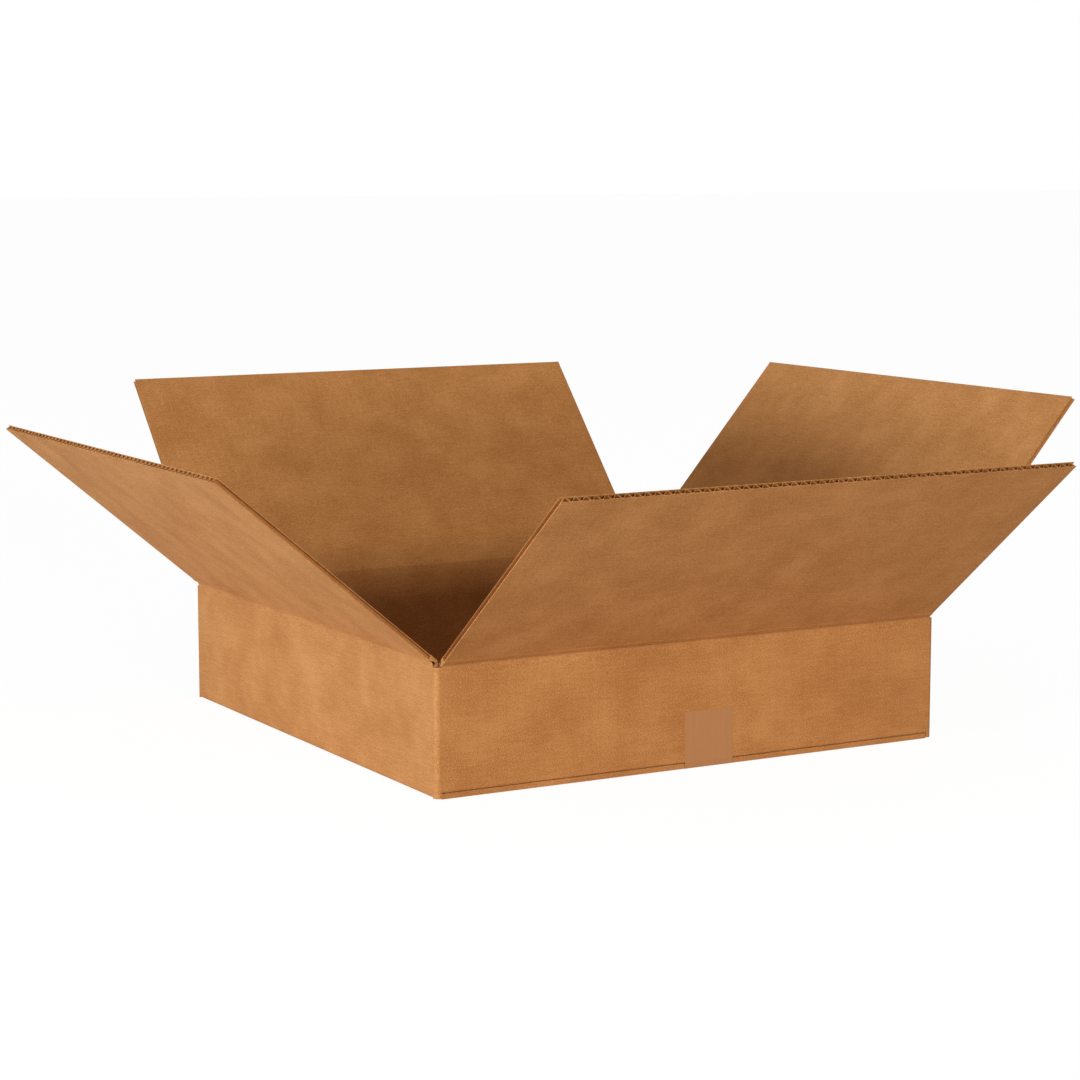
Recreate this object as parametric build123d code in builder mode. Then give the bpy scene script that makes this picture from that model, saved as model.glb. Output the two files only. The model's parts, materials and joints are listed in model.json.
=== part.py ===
"""Open corrugated shipping box: square, low, bottom taped shut, four top flaps folded out.

Row frame, in millimetres: X to the right along the front wall, Y to the back, Z up.
The origin is the middle of the closed bottom, on the plane that the box stands on.
"""
from build123d import *
from math import cos, radians, sin, tan
import os

# --- box, from its nominal inside size of 20 x 20 x 4 in ------------------------------
BOARD = 4.8             # thickness of the A-flute board
INSIDE_WIDTH = 508.0    # inside, the same both ways
INSIDE_DEPTH = 101.0    # inside, bottom to closed top
LAYER_GAP = 0.3         # free space between two layers of flap
OUT = INSIDE_WIDTH / 2 + BOARD          # centre to a wall's outer face
IN = INSIDE_WIDTH / 2                   # centre to a wall's inner face
SLOT = 5.6              # each flap stops this far in from the box's corner
FLAP_HALF = OUT - SLOT                  # half of a flap's width
SEAM = 0.6              # half of the gap where two flaps meet
FLUSH = OUT - 1.2       # outer bottom flaps end almost level with the front and back walls
CORNER_LOW = 0.8        # upright corners end this far above the ground

# --- creases --------------------------------------------------------------------------
CRUSH = 1.25            # half thickness of the board where it is crushed to fold
THICK = BOARD - CRUSH   # crease axis to the face on the far side
CORNER_R = 4.4          # outer radius of a folded corner
TIGHT_R = 2.4           # outer radius where the front and back bottom flaps fold in
INNER_R = 0.8           # inner radius of a folded corner
WALL_TOP = CRUSH + 0.4  # crease axis down to the wall's top, clear of the flap's root
FLOOR_2 = BOARD + LAYER_GAP             # underside of the inner bottom flaps
FLOOR_TOP = FLOOR_2 + BOARD             # floor inside the box
MINOR_Z = FLOOR_TOP + INSIDE_DEPTH + THICK      # front and back crease axes
MAJOR_Z = MINOR_Z + 2 * CRUSH + LAYER_GAP       # left and right crease axes
MINOR_AT = OUT - CRUSH                  # centre to a front or back crease axis
MAJOR_AT = OUT - THICK                  # centre to a left or right crease axis

# --- top flaps: outward angle from upright as the box is set down, and bevels ---------
FRONT_TILT = 51.5
BACK_TILT = 42.7
LEFT_TILT = 49.9
RIGHT_TILT = 40.9
INNER_BEVEL = 42.0      # lets a front or back flap fold in by 90 degrees
OUTER_BEVEL = 31.0      # lets a left or right flap fold out by 115 degrees
INNER_RUN = THICK / tan(radians(INNER_BEVEL))
OUTER_RUN = THICK / tan(radians(OUTER_BEVEL))

# --- fluted board ---------------------------------------------------------------------
FLUTES = 55
PITCH = 2 * FLAP_HALF / FLUTES
LINER = 0.5
MEDIUM = 0.35
CREST = 0.9             # half of the width where the medium meets a liner
CREST_R = 0.8           # bend radius inside a flute
SOLID_ROOT = 7.0        # board is crushed solid from the crease axis out to here

# --- glue tab and tape ----------------------------------------------------------------
TAB_WIDTH = 35.0
TAB_THICK = 4.0
TAB_LOW = 16.0
TAB_HIGH = 102.0
TAB_CUT = 4.0           # slope of the tab's two ends
TAPE = 0.2
TAPE_WIDTH = 50.0
TAPE_X = 13.0           # the tape was stuck a little to the right of the seam
TAPE_UP = 51.0          # height that the tape reaches on the front and back walls

OUTWARD = {
    "front": Vector(0, -1, 0),
    "back": Vector(0, 1, 0),
    "left": Vector(-1, 0, 0),
    "right": Vector(1, 0, 0),
}


def wall_plane(side):
    """Plane through the box's middle, across one wall: x runs outward and y runs up."""
    out = OUTWARD[side]
    return Plane(origin=(0, 0, 0), x_dir=out, z_dir=out.cross(Vector(0, 0, 1)))


def add_wall(side, low, top, fold):
    """Adds one wall and the bottom flap folded in from it; top lists its upper outline."""
    with BuildSketch(wall_plane(side)) as section:
        Polygon((SEAM, low), (OUT, low), *top, (IN, low + BOARD), (SEAM, low + BOARD), align=None)
        fillet(vertices().sort_by_distance((OUT, low))[0], fold)
        fillet(vertices().sort_by_distance((IN, low + BOARD))[0], INNER_R)
    extrude(section.sketch, amount=FLAP_HALF, both=True)


def flute_pair():
    """Adds the two open channels of one flute pitch, above and below the paper medium."""
    half = BOARD / 2 - LINER
    rise = 2 * half - MEDIUM
    run = PITCH / 2 - 2 * CREST
    slope = run / rise
    side = MEDIUM / 2 * (rise ** 2 + run ** 2) ** 0.5 / rise
    wide = CREST + (2 * half - MEDIUM / 2) * slope - side
    narrow = CREST + MEDIUM / 2 * slope - side
    for x, sign in ((0, 1), (PITCH / 2, -1)):
        with BuildSketch(mode=Mode.PRIVATE) as channel:
            Polygon((-wide, sign * half), (wide, sign * half),
                    (narrow, sign * (MEDIUM - half)), (-narrow, sign * (MEDIUM - half)), align=None)
            bends = vertices().sort_by(lambda v: sign * v.Y)[:2]
            fillet(bends, CREST_R)
        with Locations((x, 0)):
            add(channel.sketch, mode=Mode.SUBTRACT)


def add_flap(side, at, height, tilt, outer):
    """Adds one top flap: crushed root with its rounded crease, then open fluted board.

    outer is the distance from the crease axis to the flap's outer face. The other face
    is the rest of the board away, and the thicker side of the two is bevelled.
    """
    out = OUTWARD[side]
    up = Vector(0, 0, 1)
    along = out * sin(radians(tilt)) + up * cos(radians(tilt))
    inner = up * sin(radians(tilt)) - out * cos(radians(tilt))
    axis = inner.cross(along)
    root = out * at + up * height
    sign = 1 if outer < BOARD / 2 else -1
    run = INNER_RUN if outer < BOARD / 2 else OUTER_RUN
    with BuildSketch(Plane(origin=root, x_dir=along, z_dir=axis * -1)) as profile:
        Circle(CRUSH)
        Polygon((0, 0), (run, sign * THICK), (SOLID_ROOT, sign * THICK),
                (SOLID_ROOT, -sign * CRUSH), (0, -sign * CRUSH), align=None)
    extrude(profile.sketch, amount=FLAP_HALF, both=True)
    middle = BOARD / 2 - outer
    fluted = Plane(origin=root + along * SOLID_ROOT + inner * middle, x_dir=axis, z_dir=along)
    with BuildSketch(fluted) as section:
        Rectangle(2 * FLAP_HALF, BOARD)
        with Locations(*[(i * PITCH - FLAP_HALF, 0) for i in range(FLUTES + 1)]):
            flute_pair()
    extrude(section.sketch, amount=at - SEAM - SOLID_ROOT)


# Walls with their bottom flaps: front and back flaps lie inside, left and right outside.
minor_top = [(OUT, MINOR_Z - 2.4), (MINOR_AT, MINOR_Z - WALL_TOP),
             (MINOR_AT - 0.6, MINOR_Z - WALL_TOP), (IN, MINOR_Z - INNER_RUN)]
major_top = [(OUT, MAJOR_Z - OUTER_RUN), (MAJOR_AT + 0.7, MAJOR_Z - WALL_TOP),
             (IN, MAJOR_Z - WALL_TOP)]
with BuildPart() as box_body:
    add_wall("front", FLOOR_2, minor_top, TIGHT_R)
    add_wall("back", FLOOR_2, minor_top, TIGHT_R)
    add_wall("left", 0, major_top, CORNER_R)
    add_wall("right", 0, major_top, CORNER_R)
    # The outer bottom flaps reach on past the slots, under the front and back walls.
    with BuildSketch(Plane.XY):
        Rectangle(2 * FLAP_HALF - 1, 2 * FLUSH)
        Rectangle(2 * SEAM, 2 * FLUSH, mode=Mode.SUBTRACT)
    extrude(amount=BOARD)
    # The four upright corners, left standing between the slots.
    with BuildSketch(Plane.XY.offset(CORNER_LOW)):
        with GridLocations(2 * OUT - SLOT, 2 * OUT - SLOT, 2, 2):
            Rectangle(SLOT, SLOT)
        Rectangle(2 * IN, 2 * IN, mode=Mode.SUBTRACT)
        fillet([v for v in vertices() if abs(v.X) > OUT - 0.01 and abs(v.Y) > OUT - 0.01], CORNER_R)
    extrude(amount=MINOR_Z - WALL_TOP - CORNER_LOW)
    # Glue tab of the back wall, folded round and stuck inside the right wall.
    with BuildSketch(Plane.YZ.offset(IN - TAB_THICK)):
        Polygon((IN + 1, TAB_LOW), (IN - TAB_WIDTH, TAB_LOW + TAB_CUT),
                (IN - TAB_WIDTH, TAB_HIGH - TAB_CUT), (IN + 1, TAB_HIGH), align=None)
    extrude(amount=TAB_THICK + 1)
    # Shallow seat under the bottom, so that the tape lies level with the board.
    with BuildSketch(Plane.XY):
        with Locations((TAPE_X, 0)):
            Rectangle(TAPE_WIDTH, 2 * OUT)
    extrude(amount=TAPE, mode=Mode.SUBTRACT)

with BuildPart() as front_flap:
    add_flap("front", MINOR_AT, MINOR_Z, FRONT_TILT, CRUSH)
with BuildPart() as back_flap:
    add_flap("back", MINOR_AT, MINOR_Z, BACK_TILT, CRUSH)
with BuildPart() as left_flap:
    add_flap("left", MAJOR_AT, MAJOR_Z, LEFT_TILT, THICK)
with BuildPart() as right_flap:
    add_flap("right", MAJOR_AT, MAJOR_Z, RIGHT_TILT, THICK)

# Tape under the bottom seam, pulled straight over the flap ends and up both walls.
with BuildPart() as bottom_tape:
    with BuildSketch(Plane.YZ.offset(TAPE_X)):
        for way in (-1, 1):
            outer = OUT + TAPE
            Polygon((0, 0), (way * (FLUSH + 0.3), 0), (way * outer, 5.5),
                    (way * outer, TAPE_UP), (way * OUT, TAPE_UP), (way * OUT, 5.8),
                    (way * (FLUSH + 0.1), TAPE), (0, TAPE), align=None)
    extrude(amount=TAPE_WIDTH / 2, both=True)

box_body.part.label = "box_body"
front_flap.part.label = "front_flap"
back_flap.part.label = "back_flap"
left_flap.part.label = "left_flap"
right_flap.part.label = "right_flap"
bottom_tape.part.label = "bottom_tape"

os.makedirs("parts", exist_ok=True)
export_step(box_body.part, "parts/box_body.step")
export_step(front_flap.part, "parts/front_flap.step")
export_step(back_flap.part, "parts/back_flap.step")
export_step(left_flap.part, "parts/left_flap.step")
export_step(right_flap.part, "parts/right_flap.step")
export_step(bottom_tape.part, "parts/bottom_tape.step")
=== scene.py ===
"""Looks of an open corrugated shipping box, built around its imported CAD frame.

The fluted flaps, walls and bottom are the CAD nodes, which get kraft paper finishes.
Each top crease gets the two paper liners that bend through it, as pieces of their own.
"""
import json
import logging
import math
from dataclasses import dataclass, field
from enum import Enum
from typing import Any

import bmesh
import bpy
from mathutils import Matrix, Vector


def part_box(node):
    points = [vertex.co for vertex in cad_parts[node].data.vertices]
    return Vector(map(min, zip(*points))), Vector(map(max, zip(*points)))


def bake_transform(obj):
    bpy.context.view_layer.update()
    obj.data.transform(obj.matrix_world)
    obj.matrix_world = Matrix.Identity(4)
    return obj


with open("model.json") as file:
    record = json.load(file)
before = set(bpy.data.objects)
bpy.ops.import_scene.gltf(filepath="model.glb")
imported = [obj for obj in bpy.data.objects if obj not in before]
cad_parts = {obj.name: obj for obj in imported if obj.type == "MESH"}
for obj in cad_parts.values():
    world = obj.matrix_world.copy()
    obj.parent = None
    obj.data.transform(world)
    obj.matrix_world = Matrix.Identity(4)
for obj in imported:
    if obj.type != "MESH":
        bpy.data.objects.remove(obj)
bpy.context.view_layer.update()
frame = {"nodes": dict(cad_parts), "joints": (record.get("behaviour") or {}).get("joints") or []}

log = logging.getLogger("carton")
MM = 0.001
FLUTE_PITCH = 9.21 * MM
CRUSH = 1.25 * MM       # half thickness of the board where it is crushed to fold
BOARD = 4.8 * MM
THICK = BOARD - CRUSH
LINER_PAPER = 0.3 * MM  # thickness of the modelled liner strips
LINER_GAP = 0.12 * MM   # liner strip's middle to the face of the board
LINER_REACH = 8.5 * MM  # crease axis to each end of a liner strip
SMOOTH_ANGLE = 50       # degrees

LAMP_DISTANCE = 4.2     # metres
LAMP_AIM = (0, 0, 0.12)

# Outward angle of each flap from upright at rest, in degrees.
REST_TILT = {"front_flap": 51.5, "back_flap": 42.7, "left_flap": 49.9, "right_flap": 40.9}


class Side(Enum):
    """A wall of the box: its turn about Z from the front wall, in degrees."""

    FRONT = 0
    BACK = 180
    LEFT = -90
    RIGHT = 90


class Across(Enum):
    """Way that the flutes are counted in, which is across them."""

    X = "x"
    Y = "y"
    BY_FACE = "by face"


def linear(code: str) -> tuple[float, float, float, float]:
    """Turns an sRGB hex colour to linear.

    Args:
        code: Colour as "#RRGGBB".

    Returns:
        Linear red, green, blue and an alpha of 1.
    """
    parts = [int(code[i:i + 2], 16) / 255 for i in (1, 3, 5)]
    turned = [p / 12.92 if p <= 0.04045 else ((p + 0.055) / 1.055) ** 2.4 for p in parts]
    return (turned[0], turned[1], turned[2], 1.0)


def add_node(tree: bpy.types.NodeTree, kind: str, inputs: dict[Any, Any] | None = None,
             **settings: Any) -> bpy.types.Node:
    """Adds a node with its settings, values and links.

    Args:
        tree: Node tree that takes the node.
        kind: Blender's name of the node type.
        inputs: Value, or output socket to link, for each input by name or number.
        **settings: Properties of the node itself.

    Returns:
        The new node.
    """
    node = tree.nodes.new(kind)
    for name, value in settings.items():
        setattr(node, name, value)
    for key, value in (inputs or {}).items():
        if isinstance(value, bpy.types.NodeSocket):
            tree.links.new(value, node.inputs[key])
        else:
            node.inputs[key].default_value = value
    return node


def new_material(name: str) -> tuple[bpy.types.Material, bpy.types.NodeTree, bpy.types.Node]:
    """Makes a material with one Principled shader.

    Args:
        name: Name of the material.

    Returns:
        The material, its node tree and its shader node.
    """
    material = bpy.data.materials.new(name)
    material.use_nodes = True
    return material, material.node_tree, material.node_tree.nodes["Principled BSDF"]


@dataclass(frozen=True)
class KraftLiner:
    """Unbleached kraft linerboard, machine-made and glued over flutes.

    Attributes:
        base: Main colour.
        dark: Colour of darker fibre clouds and streaks.
        light: Colour of paler fibre clouds.
        speck: Colour of bark specks.
        upward_painted_light_tint: Factors that make a flap's upward-facing faces, its inner
            liner and cut free edge, paler, as painted light falling on them.
        washboard: Height of the ribs that the flutes press through the liner, in metres.
        felt: Height of the paper's felt-like mottle, in metres.
        roughness: Roughness of the paper.
    """

    base: str = "#B87C44"
    dark: str = "#A56A36"
    light: str = "#CA8E55"
    speck: str = "#5B3A1E"
    # Painted highlight: factors that make the flaps' upward-facing faces paler, in place of
    # light falling on them.
    upward_painted_light_tint: tuple[float, float, float, float] = (1.15, 1.14, 1.11, 1.0)
    washboard: float = 0.00004
    felt: float = 0.00012
    roughness: float = 0.86

    def build(self, name: str, across: Across) -> bpy.types.Material:
        """Makes the paper material.

        Unbleached wood fibre gives the eye a warm brown with soft clouds of fibre, fine
        streaks along the paper's run, a few bark specks and hardly any gloss.

        Args:
            name: Name of the material.
            across: Way across the flutes.

        Returns:
            The material.
        """
        material, tree, shader = new_material(name)
        place = add_node(tree, "ShaderNodeTexCoord").outputs["Object"]
        axes = add_node(tree, "ShaderNodeSeparateXYZ", {0: place}).outputs
        run = self._across_value(tree, axes, across)
        other = self._other_value(tree, axes, across)
        # Fibre streaks: about 17 mm long across the flutes and 2 mm high.
        streak_place = add_node(tree, "ShaderNodeCombineXYZ", {
            0: self._scaled(tree, run, 60.0), 1: self._scaled(tree, other, 520.0),
            2: self._scaled(tree, axes[2], 520.0)}).outputs[0]
        streaks = add_node(tree, "ShaderNodeTexNoise", {
            "Vector": streak_place, "Scale": 1.0, "Detail": 3.0, "Roughness": 0.6}).outputs[0]
        # Clouds of fibre 20 to 60 mm wide, and felt-like mottle of 1.2 mm.
        clouds = add_node(tree, "ShaderNodeTexNoise", {
            "Vector": place, "Scale": 22.0, "Detail": 3.0, "Roughness": 0.55}).outputs[0]
        mottle = add_node(tree, "ShaderNodeTexNoise", {
            "Vector": place, "Scale": 800.0, "Detail": 2.0, "Roughness": 0.7}).outputs[0]
        mixed = add_node(tree, "ShaderNodeMath", {
            0: self._scaled(tree, streaks, 0.16), 1: self._scaled(tree, clouds, 0.26)},
            operation="ADD").outputs[0]
        mixed = add_node(tree, "ShaderNodeMath", {
            0: mixed, 1: self._scaled(tree, mottle, 0.58)}, operation="ADD").outputs[0]
        ramp = add_node(tree, "ShaderNodeValToRGB", {0: mixed})
        ramp.color_ramp.elements[0].position = 0.39
        ramp.color_ramp.elements[0].color = linear(self.dark)
        ramp.color_ramp.elements[1].position = 0.61
        ramp.color_ramp.elements[1].color = linear(self.light)
        middle = ramp.color_ramp.elements.new(0.5)
        middle.color = linear(self.base)
        colour = self._with_specks(tree, place, ramp.outputs[0])
        # Painted light: the flaps' faces that point upward are made paler.
        if across is not Across.BY_FACE:
            colour = self._paint_upward_light(tree, colour)
        tree.links.new(colour, shader.inputs["Base Color"])
        # Washboard: the flutes stand 9.2 mm apart and show as faint ribs.
        phase = self._scaled(tree, run, 2 * math.pi / FLUTE_PITCH)
        ribs = add_node(tree, "ShaderNodeMath", {0: phase}, operation="COSINE").outputs[0]
        height = add_node(tree, "ShaderNodeMath", {
            0: self._scaled(tree, ribs, self.washboard),
            1: self._scaled(tree, mottle, self.felt)}, operation="ADD").outputs[0]
        bump = add_node(tree, "ShaderNodeBump", {"Height": height, "Distance": 1.0,
                                                 "Strength": 0.6}).outputs[0]
        tree.links.new(bump, shader.inputs["Normal"])
        shader.inputs["Roughness"].default_value = self.roughness
        shader.inputs["IOR"].default_value = 1.45
        shader.inputs["Specular IOR Level"].default_value = 0.25
        return material

    @staticmethod
    def _scaled(tree: bpy.types.NodeTree, value: bpy.types.NodeSocket,
                by: float) -> bpy.types.NodeSocket:
        """Multiplies a socket by a number.

        Args:
            tree: Node tree.
            value: Socket to multiply.
            by: The number.

        Returns:
            The product.
        """
        return add_node(tree, "ShaderNodeMath", {0: value, 1: by},
                        operation="MULTIPLY").outputs[0]

    def _across_value(self, tree: bpy.types.NodeTree, axes: Any,
                      across: Across) -> bpy.types.NodeSocket:
        """Gives the coordinate that counts flutes.

        Args:
            tree: Node tree.
            axes: The three Object coordinates.
            across: Way across the flutes.

        Returns:
            One coordinate, chosen face by face on the folded sheet.
        """
        if across is Across.X:
            return axes[0]
        if across is Across.Y:
            return axes[1]
        return self._by_face(tree, axes[0], axes[1])

    def _other_value(self, tree: bpy.types.NodeTree, axes: Any,
                     across: Across) -> bpy.types.NodeSocket:
        """Gives the level coordinate that runs along the flutes or through the board.

        Args:
            tree: Node tree.
            axes: The three Object coordinates.
            across: Way across the flutes.

        Returns:
            One coordinate, chosen face by face on the folded sheet.
        """
        if across is Across.X:
            return axes[1]
        if across is Across.Y:
            return axes[0]
        return self._by_face(tree, axes[1], axes[0])

    @staticmethod
    def _by_face(tree: bpy.types.NodeTree, front_value: bpy.types.NodeSocket,
                 side_value: bpy.types.NodeSocket) -> bpy.types.NodeSocket:
        """Picks a value for front and back walls and floor, or for side walls and underside.

        Args:
            tree: Node tree.
            front_value: Value on the front and back walls and on the floor inside.
            side_value: Value on the left and right walls and on the underside.

        Returns:
            The picked value.
        """
        normal = add_node(tree, "ShaderNodeNewGeometry").outputs["True Normal"]
        parts = add_node(tree, "ShaderNodeSeparateXYZ", {0: normal}).outputs
        sideways = add_node(tree, "ShaderNodeMath", {0: parts[0]},
                            operation="ABSOLUTE").outputs[0]
        side = add_node(tree, "ShaderNodeMath", {0: sideways, 1: 0.6},
                        operation="GREATER_THAN").outputs[0]
        under = add_node(tree, "ShaderNodeMath", {0: parts[2], 1: -0.6},
                         operation="LESS_THAN").outputs[0]
        pick = add_node(tree, "ShaderNodeMath", {0: side, 1: under},
                        operation="MAXIMUM").outputs[0]
        return add_node(tree, "ShaderNodeMix", {
            0: pick, 2: front_value, 3: side_value}).outputs[0]

    def _paint_upward_light(self, tree: bpy.types.NodeTree,
                    colour: bpy.types.NodeSocket) -> bpy.types.NodeSocket:
        """Makes a flap's inner liner and its cut free edge paler than the outer liner.

        Both of them face upward on every flap at rest, and the outer liner doesn't, so the paler
        colour is a painted highlight standing in for light falling on them.

        Args:
            tree: Node tree.
            colour: Colour of the outer liner.

        Returns:
            The colour for each side of the flap.
        """
        normal = add_node(tree, "ShaderNodeTexCoord").outputs["Normal"]
        up = add_node(tree, "ShaderNodeSeparateXYZ", {0: normal}).outputs[2]
        # Faces pointing up get the painted highlight.
        inner = add_node(tree, "ShaderNodeMath", {0: up, 1: 0.5}, operation="GREATER_THAN")
        mix = add_node(tree, "ShaderNodeMix", {
            0: inner.outputs[0], 6: colour, 7: self.upward_painted_light_tint},
            data_type="RGBA", blend_type="MULTIPLY")
        return mix.outputs[2]

    def _with_specks(self, tree: bpy.types.NodeTree, place: bpy.types.NodeSocket,
                     colour: bpy.types.NodeSocket) -> bpy.types.NodeSocket:
        """Adds sparse bark specks about 1 mm wide over the paper's colour.

        Args:
            tree: Node tree.
            place: Object coordinates.
            colour: Colour of the paper.

        Returns:
            The colour with specks.
        """
        cells = add_node(tree, "ShaderNodeTexVoronoi", {"Vector": place, "Scale": 130.0})
        near = add_node(tree, "ShaderNodeMath", {0: cells.outputs["Distance"], 1: 0.065},
                        operation="LESS_THAN").outputs[0]
        chance = add_node(tree, "ShaderNodeSeparateColor",
                          {0: cells.outputs["Color"]}).outputs[0]
        rare = add_node(tree, "ShaderNodeMath", {0: chance, 1: 0.16},
                        operation="LESS_THAN").outputs[0]
        mask = add_node(tree, "ShaderNodeMath", {0: near, 1: rare},
                        operation="MULTIPLY").outputs[0]
        soft = self._scaled(tree, mask, 0.7)
        mix = add_node(tree, "ShaderNodeMix", {0: soft, 6: colour, 7: linear(self.speck)},
                       data_type="RGBA")
        return mix.outputs[2]


@dataclass(frozen=True)
class PackingTape:
    """Buff polypropylene packing tape, cast film pressed on by hand.

    Attributes:
        base: Main colour.
        band: Colour of the streaks along the roll.
    """

    base: str = "#B47A46"
    band: str = "#AB723F"

    def build(self, name: str) -> bpy.types.Material:
        """Makes the tape material.

        Smooth film gives the eye a flatter brown, close to the paper's, with a low gloss
        and faint streaks along the roll.

        Args:
            name: Name of the material.

        Returns:
            The material.
        """
        material, tree, shader = new_material(name)
        place = add_node(tree, "ShaderNodeTexCoord").outputs["Object"]
        # Streaks of the roll are about 3 mm wide and run along the strip.
        along = add_node(tree, "ShaderNodeMapping", {
            "Vector": place, "Scale": (330.0, 12.0, 12.0)}).outputs[0]
        streaks = add_node(tree, "ShaderNodeTexNoise", {"Vector": along, "Scale": 1.0,
                                                        "Detail": 2.0}).outputs[0]
        mix = add_node(tree, "ShaderNodeMix", {0: streaks, 6: linear(self.band),
                                               7: linear(self.base)}, data_type="RGBA")
        tree.links.new(mix.outputs[2], shader.inputs["Base Color"])
        bump = add_node(tree, "ShaderNodeBump", {"Height": streaks, "Distance": 0.0002,
                                                 "Strength": 0.4}).outputs[0]
        tree.links.new(bump, shader.inputs["Normal"])
        shader.inputs["Roughness"].default_value = 0.42
        shader.inputs["IOR"].default_value = 1.49
        return material


@dataclass
class Crease:
    """Liners that bend through one top crease.

    Attributes:
        side: Wall that the flap hangs on.
        body: CAD body of the flap.
        at: Centre of the box to the crease axis.
        height: Height of the crease axis.
        tilt: Outward angle of the flap from upright, in degrees.
        outer: Crease axis to the outer faces of wall and flap.
        half: Half of the flap's width.
    """

    side: Side
    body: str
    at: float
    height: float
    tilt: float
    outer: float
    half: float

    def polar(self, angle: float, radius: float) -> Vector:
        """Point about the crease axis, for a box turned so that this wall is in front.

        Args:
            angle: Angle outward from upright, in degrees.
            radius: Distance from the crease axis.

        Returns:
            The point.
        """
        a = math.radians(angle)
        return Vector((0, -self.at - radius * math.sin(a), self.height + radius * math.cos(a)))

    def on_wall(self, down: float, out: float) -> Vector:
        """Point on the wall.

        Args:
            down: Distance down from the crease axis.
            out: Distance out from the crease axis.

        Returns:
            The point.
        """
        return Vector((0, -self.at - out, self.height - down))

    def on_flap(self, along: float, out: float) -> Vector:
        """Point on the flap.

        Args:
            along: Distance along the flap from the crease axis.
            out: Distance out from the crease axis, through the flap's thickness.

        Returns:
            The point.
        """
        a = math.radians(self.tilt)
        return Vector((0, -self.at - along * math.sin(a) - out * math.cos(a),
                       self.height + along * math.cos(a) - out * math.sin(a)))

    def liner(self, name: str, points: list[Vector], thickness: float) -> bpy.types.Object:
        """Models one liner by extruding its first facet from wall to flap.

        Args:
            name: Name of the piece.
            points: Section of the liner, from the wall to the flap.
            thickness: Paper thickness.

        Returns:
            The finished piece.
        """
        bpy.ops.object.select_all(action="DESELECT")
        first = points[1] - points[0]
        bpy.ops.mesh.primitive_plane_add(size=1, location=(points[0] + points[1]) / 2,
                                         rotation=(math.atan2(first.z, first.y), 0, 0))
        piece = bpy.context.object
        piece.name = name
        piece.scale = (2 * self.half, first.length, 1)
        bpy.ops.object.transform_apply(location=True, rotation=True, scale=True)
        bpy.ops.object.mode_set(mode="EDIT")
        bpy.ops.mesh.select_all(action="DESELECT")
        bpy.ops.mesh.select_mode(type="EDGE")
        mesh = bmesh.from_edit_mesh(piece.data)
        lead = [e for e in mesh.edges
                if all((v.co - Vector((v.co.x, *points[1][1:]))).length < 1e-6
                       for v in e.verts)]
        lead[0].select_set(True)
        bmesh.update_edit_mesh(piece.data)
        for before, after in zip(points[1:], points[2:]):
            bpy.ops.mesh.extrude_region_move(TRANSFORM_OT_translate={"value": after - before})
        bpy.ops.mesh.select_all(action="SELECT")
        bpy.ops.mesh.bisect(plane_co=(0, 0, 0), plane_no=(1, 0, 0))
        bpy.ops.object.mode_set(mode="OBJECT")
        solid = piece.modifiers.new("paper", "SOLIDIFY")
        solid.thickness = thickness
        solid.offset = 0
        bpy.ops.object.modifier_apply(modifier="paper")
        bpy.ops.object.mode_set(mode="EDIT")
        bpy.ops.mesh.select_all(action="SELECT")
        bpy.ops.mesh.normals_make_consistent(inside=False)
        bpy.ops.object.mode_set(mode="OBJECT")
        piece.rotation_euler = (0, 0, math.radians(self.side.value))
        bpy.ops.object.transform_apply(location=True, rotation=True, scale=True)
        bpy.ops.object.shade_smooth_by_angle(angle=math.radians(SMOOTH_ANGLE))
        return piece

    def sections(self) -> dict[str, list[Vector]]:
        """Works out the section of the outer and the inner liner.

        Returns:
            Points from the wall to the flap, for each liner.
        """
        inner = BOARD - self.outer
        middle = 90 + self.tilt / 2
        thin = self.outer < BOARD / 2
        outer_deep = 1.6 * MM if thin else 3.9 * MM
        inner_deep = 2.6 * MM if thin else 1.5 * MM
        bend_out = 2.2 * MM if thin else 6.0 * MM
        bend_in = 4.2 * MM if thin else 2.2 * MM
        out_turns = [
            self.polar(middle + turn, outer_deep * grow)
            for turn, grow in ((24, 1.08), (12, 1.02), (0, 1.0), (-12, 1.02), (-24, 1.08))]
        in_turns = [
            self.polar(middle - 180 - turn, inner_deep * grow)
            for turn, grow in ((45, 1.15), (22, 1.03), (0, 1.0), (-22, 1.03), (-45, 1.15))]
        out_face, in_face = self.outer + LINER_GAP, -inner - LINER_GAP
        return {
            "outer": [self.on_wall(LINER_REACH, out_face), self.on_wall(bend_out, out_face),
                      *out_turns,
                      self.on_flap(bend_out, out_face), self.on_flap(LINER_REACH, out_face)],
            "inner": [self.on_wall(LINER_REACH, in_face), self.on_wall(bend_in, in_face),
                      *in_turns,
                      self.on_flap(bend_in, in_face), self.on_flap(LINER_REACH, in_face)],
        }

    def build(self, paper: bpy.types.Material) -> None:
        """Builds both liners, shaped as they bend between the box and the flap at rest.

        Args:
            paper: Finish of the liners.
        """
        for where, points in self.sections().items():
            piece = self.liner(f"{self.body}_{where}_crease", points, LINER_PAPER)
            piece.data.materials.clear()
            piece.data.materials.append(paper)
            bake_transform(piece)
            log.info("built %s with %d faces", piece.name, len(piece.data.polygons))


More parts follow.
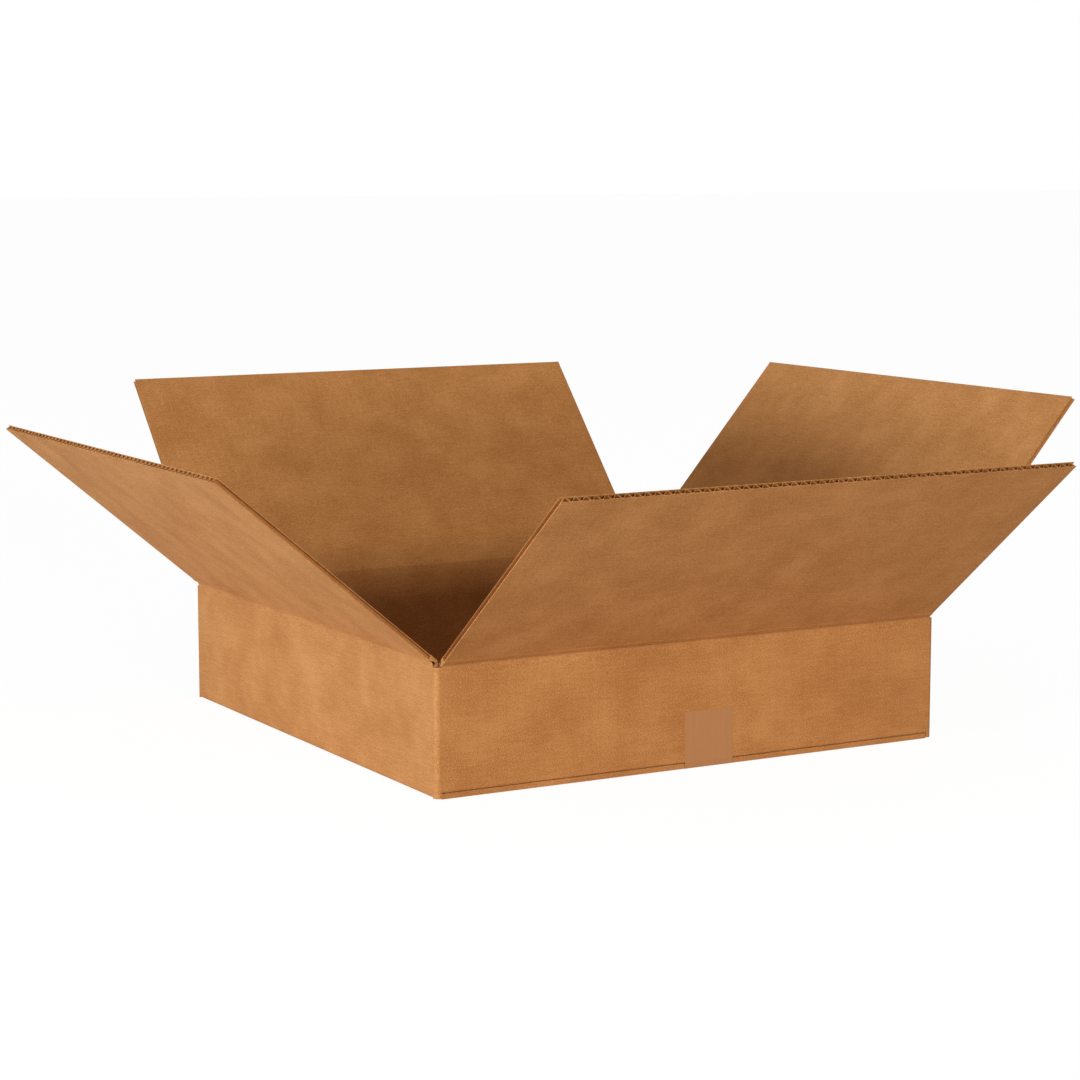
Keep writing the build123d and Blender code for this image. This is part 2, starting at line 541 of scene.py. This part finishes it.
@dataclass
class Studio:
    """Plain white studio with a pale floor, soft lamps and the camera.

    Attributes:
        lens: Focal length, in millimetres.
        azimuth: Camera's direction round the box, where 0 is in front, in degrees.
        pitch: Camera's angle down, in degrees.
        position: Place of the camera, in metres.
        ambient: Strength of the soft light from all round.
        floor_glow: Strength of the floor's own white, as the camera sees it.
        floor_glow_share: Part of that white in the floor's look, the rest being paper.
    """

    lens: float = 92.95
    azimuth: float = -29.443
    pitch: float = 7.897
    position: tuple[float, float, float] = (-1.30728, -2.29352, 0.53810)
    ambient: float = 0.26
    floor_glow: float = 1.08
    floor_glow_share: float = 0.88

    def camera(self) -> None:
        """Makes the camera at the viewing angle of the object."""
        data = bpy.data.cameras.new("camera")
        data.lens = self.lens
        data.sensor_width = 36.0
        data.clip_start, data.clip_end = 0.05, 50.0
        camera = bpy.data.objects.new("camera", data)
        bpy.context.scene.collection.objects.link(camera)
        a, e = math.radians(self.azimuth), math.radians(self.pitch)
        back = Vector((math.sin(a) * math.cos(e), -math.cos(a) * math.cos(e), math.sin(e)))
        camera.location = self.position
        camera.rotation_euler = (-back).to_track_quat("-Z", "Y").to_euler()
        bpy.context.scene.camera = camera

    def floor(self) -> None:
        """Makes the pale floor, which looks white and keeps the object's shadow."""
        bpy.ops.object.select_all(action="DESELECT")
        bpy.ops.mesh.primitive_plane_add(size=60, location=(0, 0, -0.0006))
        floor = bpy.context.object
        floor.name = "floor"
        material, tree, shader = new_material("white_floor_paper")
        shader.inputs["Base Color"].default_value = (0.86, 0.86, 0.86, 1)
        shader.inputs["Roughness"].default_value = 0.9
        shader.inputs["Specular IOR Level"].default_value = 0.1
        seen = self._seen_directly(tree)
        glow = add_node(tree, "ShaderNodeEmission", {
            "Color": (1, 1, 1, 1), "Strength": self.floor_glow})
        share = add_node(tree, "ShaderNodeMath", {0: seen, 1: self.floor_glow_share},
                         operation="MULTIPLY")
        mix = add_node(tree, "ShaderNodeMixShader", {
            0: share.outputs[0], 1: shader.outputs[0], 2: glow.outputs[0]})
        tree.links.new(mix.outputs[0], tree.nodes["Material Output"].inputs[0])
        floor.data.materials.append(material)

    @staticmethod
    def _seen_directly(tree: bpy.types.NodeTree) -> bpy.types.NodeSocket:
        """Finds the rays that see the surroundings.

        Args:
            tree: Node tree.

        Returns:
            1 for a camera, glossy or transmission ray, else 0.
        """
        path = add_node(tree, "ShaderNodeLightPath").outputs
        either = add_node(tree, "ShaderNodeMath", {
            0: path["Is Camera Ray"], 1: path["Is Glossy Ray"]}, operation="MAXIMUM").outputs[0]
        return add_node(tree, "ShaderNodeMath", {
            0: either, 1: path["Is Transmission Ray"]}, operation="MAXIMUM").outputs[0]

    def world(self) -> None:
        """Makes the white surroundings."""
        world = bpy.data.worlds.new("white_room")
        bpy.context.scene.world = world
        world.use_nodes = True
        tree = world.node_tree
        tree.nodes.clear()
        seen = self._seen_directly(tree)
        strength = add_node(tree, "ShaderNodeMix", {
            0: seen, 2: self.ambient, 3: 1.0}).outputs[0]
        room = add_node(tree, "ShaderNodeBackground", {
            "Color": (1, 1, 1, 1), "Strength": strength})
        out = add_node(tree, "ShaderNodeOutputWorld")
        tree.links.new(room.outputs[0], out.inputs[0])

    def lamp(self, name: str, azimuth: float, elevation: float, size: tuple[float, float],
             watts: float, tint: str) -> None:
        """Hangs one soft lamp, LAMP_DISTANCE from the box.

        Args:
            name: Name of the lamp.
            azimuth: Direction round the box, where 0 is in front and -90 is left.
            elevation: Height above the floor, in degrees.
            size: Width and height of the lamp, in metres.
            watts: Power.
            tint: Colour.
        """
        data = bpy.data.lights.new(name, "AREA")
        data.shape = "RECTANGLE"
        data.size, data.size_y = size
        data.energy = watts
        data.color = linear(tint)[:3]
        lamp = bpy.data.objects.new(name, data)
        bpy.context.scene.collection.objects.link(lamp)
        a, e = math.radians(azimuth), math.radians(elevation)
        away = Vector((math.sin(a) * math.cos(e), -math.cos(a) * math.cos(e), math.sin(e)))
        lamp.location = Vector(LAMP_AIM) + away * LAMP_DISTANCE
        lamp.visible_camera = False
        lamp.rotation_euler = (-away).to_track_quat("-Z", "Y").to_euler()

    def build(self) -> None:
        """Builds the camera, floor, room and lamps."""
        self.camera()
        self.floor()
        self.world()
        self.lamp("key_left", -78, 4, (1.8, 0.4), 170, "#DFEDFF")
        self.lamp("fill_front", -4, 13.5, (2.0, 0.35), 76, "#FFFDF8")
        bpy.context.scene.view_settings.view_transform = "Standard"


@dataclass
class Carton:
    """The box: its CAD nodes dressed in paper, and its bending creases.

    Attributes:
        finishes: Material of each CAD node, by the node's name.
    """

    finishes: dict[str, bpy.types.Material] = field(default_factory=dict)

    def dress(self) -> None:
        """Gives each CAD node its finish."""
        paper = KraftLiner()
        self.finishes = {
            "box_body": paper.build("kraft_liner_folded_sheet", Across.BY_FACE),
            "front_flap": paper.build("kraft_liner_flutes_along_y", Across.X),
            "left_flap": paper.build("kraft_liner_flutes_along_x", Across.Y),
            "bottom_tape": PackingTape().build("polypropylene_film_pressed_on"),
        }
        self.finishes["back_flap"] = self.finishes["front_flap"]
        self.finishes["right_flap"] = self.finishes["left_flap"]
        for name, material in self.finishes.items():
            node = frame["nodes"][name]
            node.data.materials.clear()
            node.data.materials.append(material)
            log.info("dressed %s in %s", name, material.name)

    def creases(self) -> None:
        """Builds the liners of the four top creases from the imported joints."""
        sides = {"front_flap": Side.FRONT, "back_flap": Side.BACK,
                 "left_flap": Side.LEFT, "right_flap": Side.RIGHT}
        for joint in frame["joints"]:
            flap = joint["child"]
            x, y, z = joint["pos_m"]
            low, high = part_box(flap)
            front_or_back = flap in ("front_flap", "back_flap")
            half = (high.x - low.x) / 2 if front_or_back else (high.y - low.y) / 2
            Crease(side=sides[flap], body=flap, at=math.hypot(x, y), height=z,
                   tilt=REST_TILT[flap], outer=CRUSH if front_or_back else THICK,
                   half=half).build(self.finishes[flap])


def main() -> None:
    """Builds the studio, the box's finishes and its creases."""
    logging.basicConfig(level=logging.INFO, format="%(message)s")
    Studio().build()
    carton = Carton()
    carton.dress()
    carton.creases()


if __name__ == "__main__":
    main()
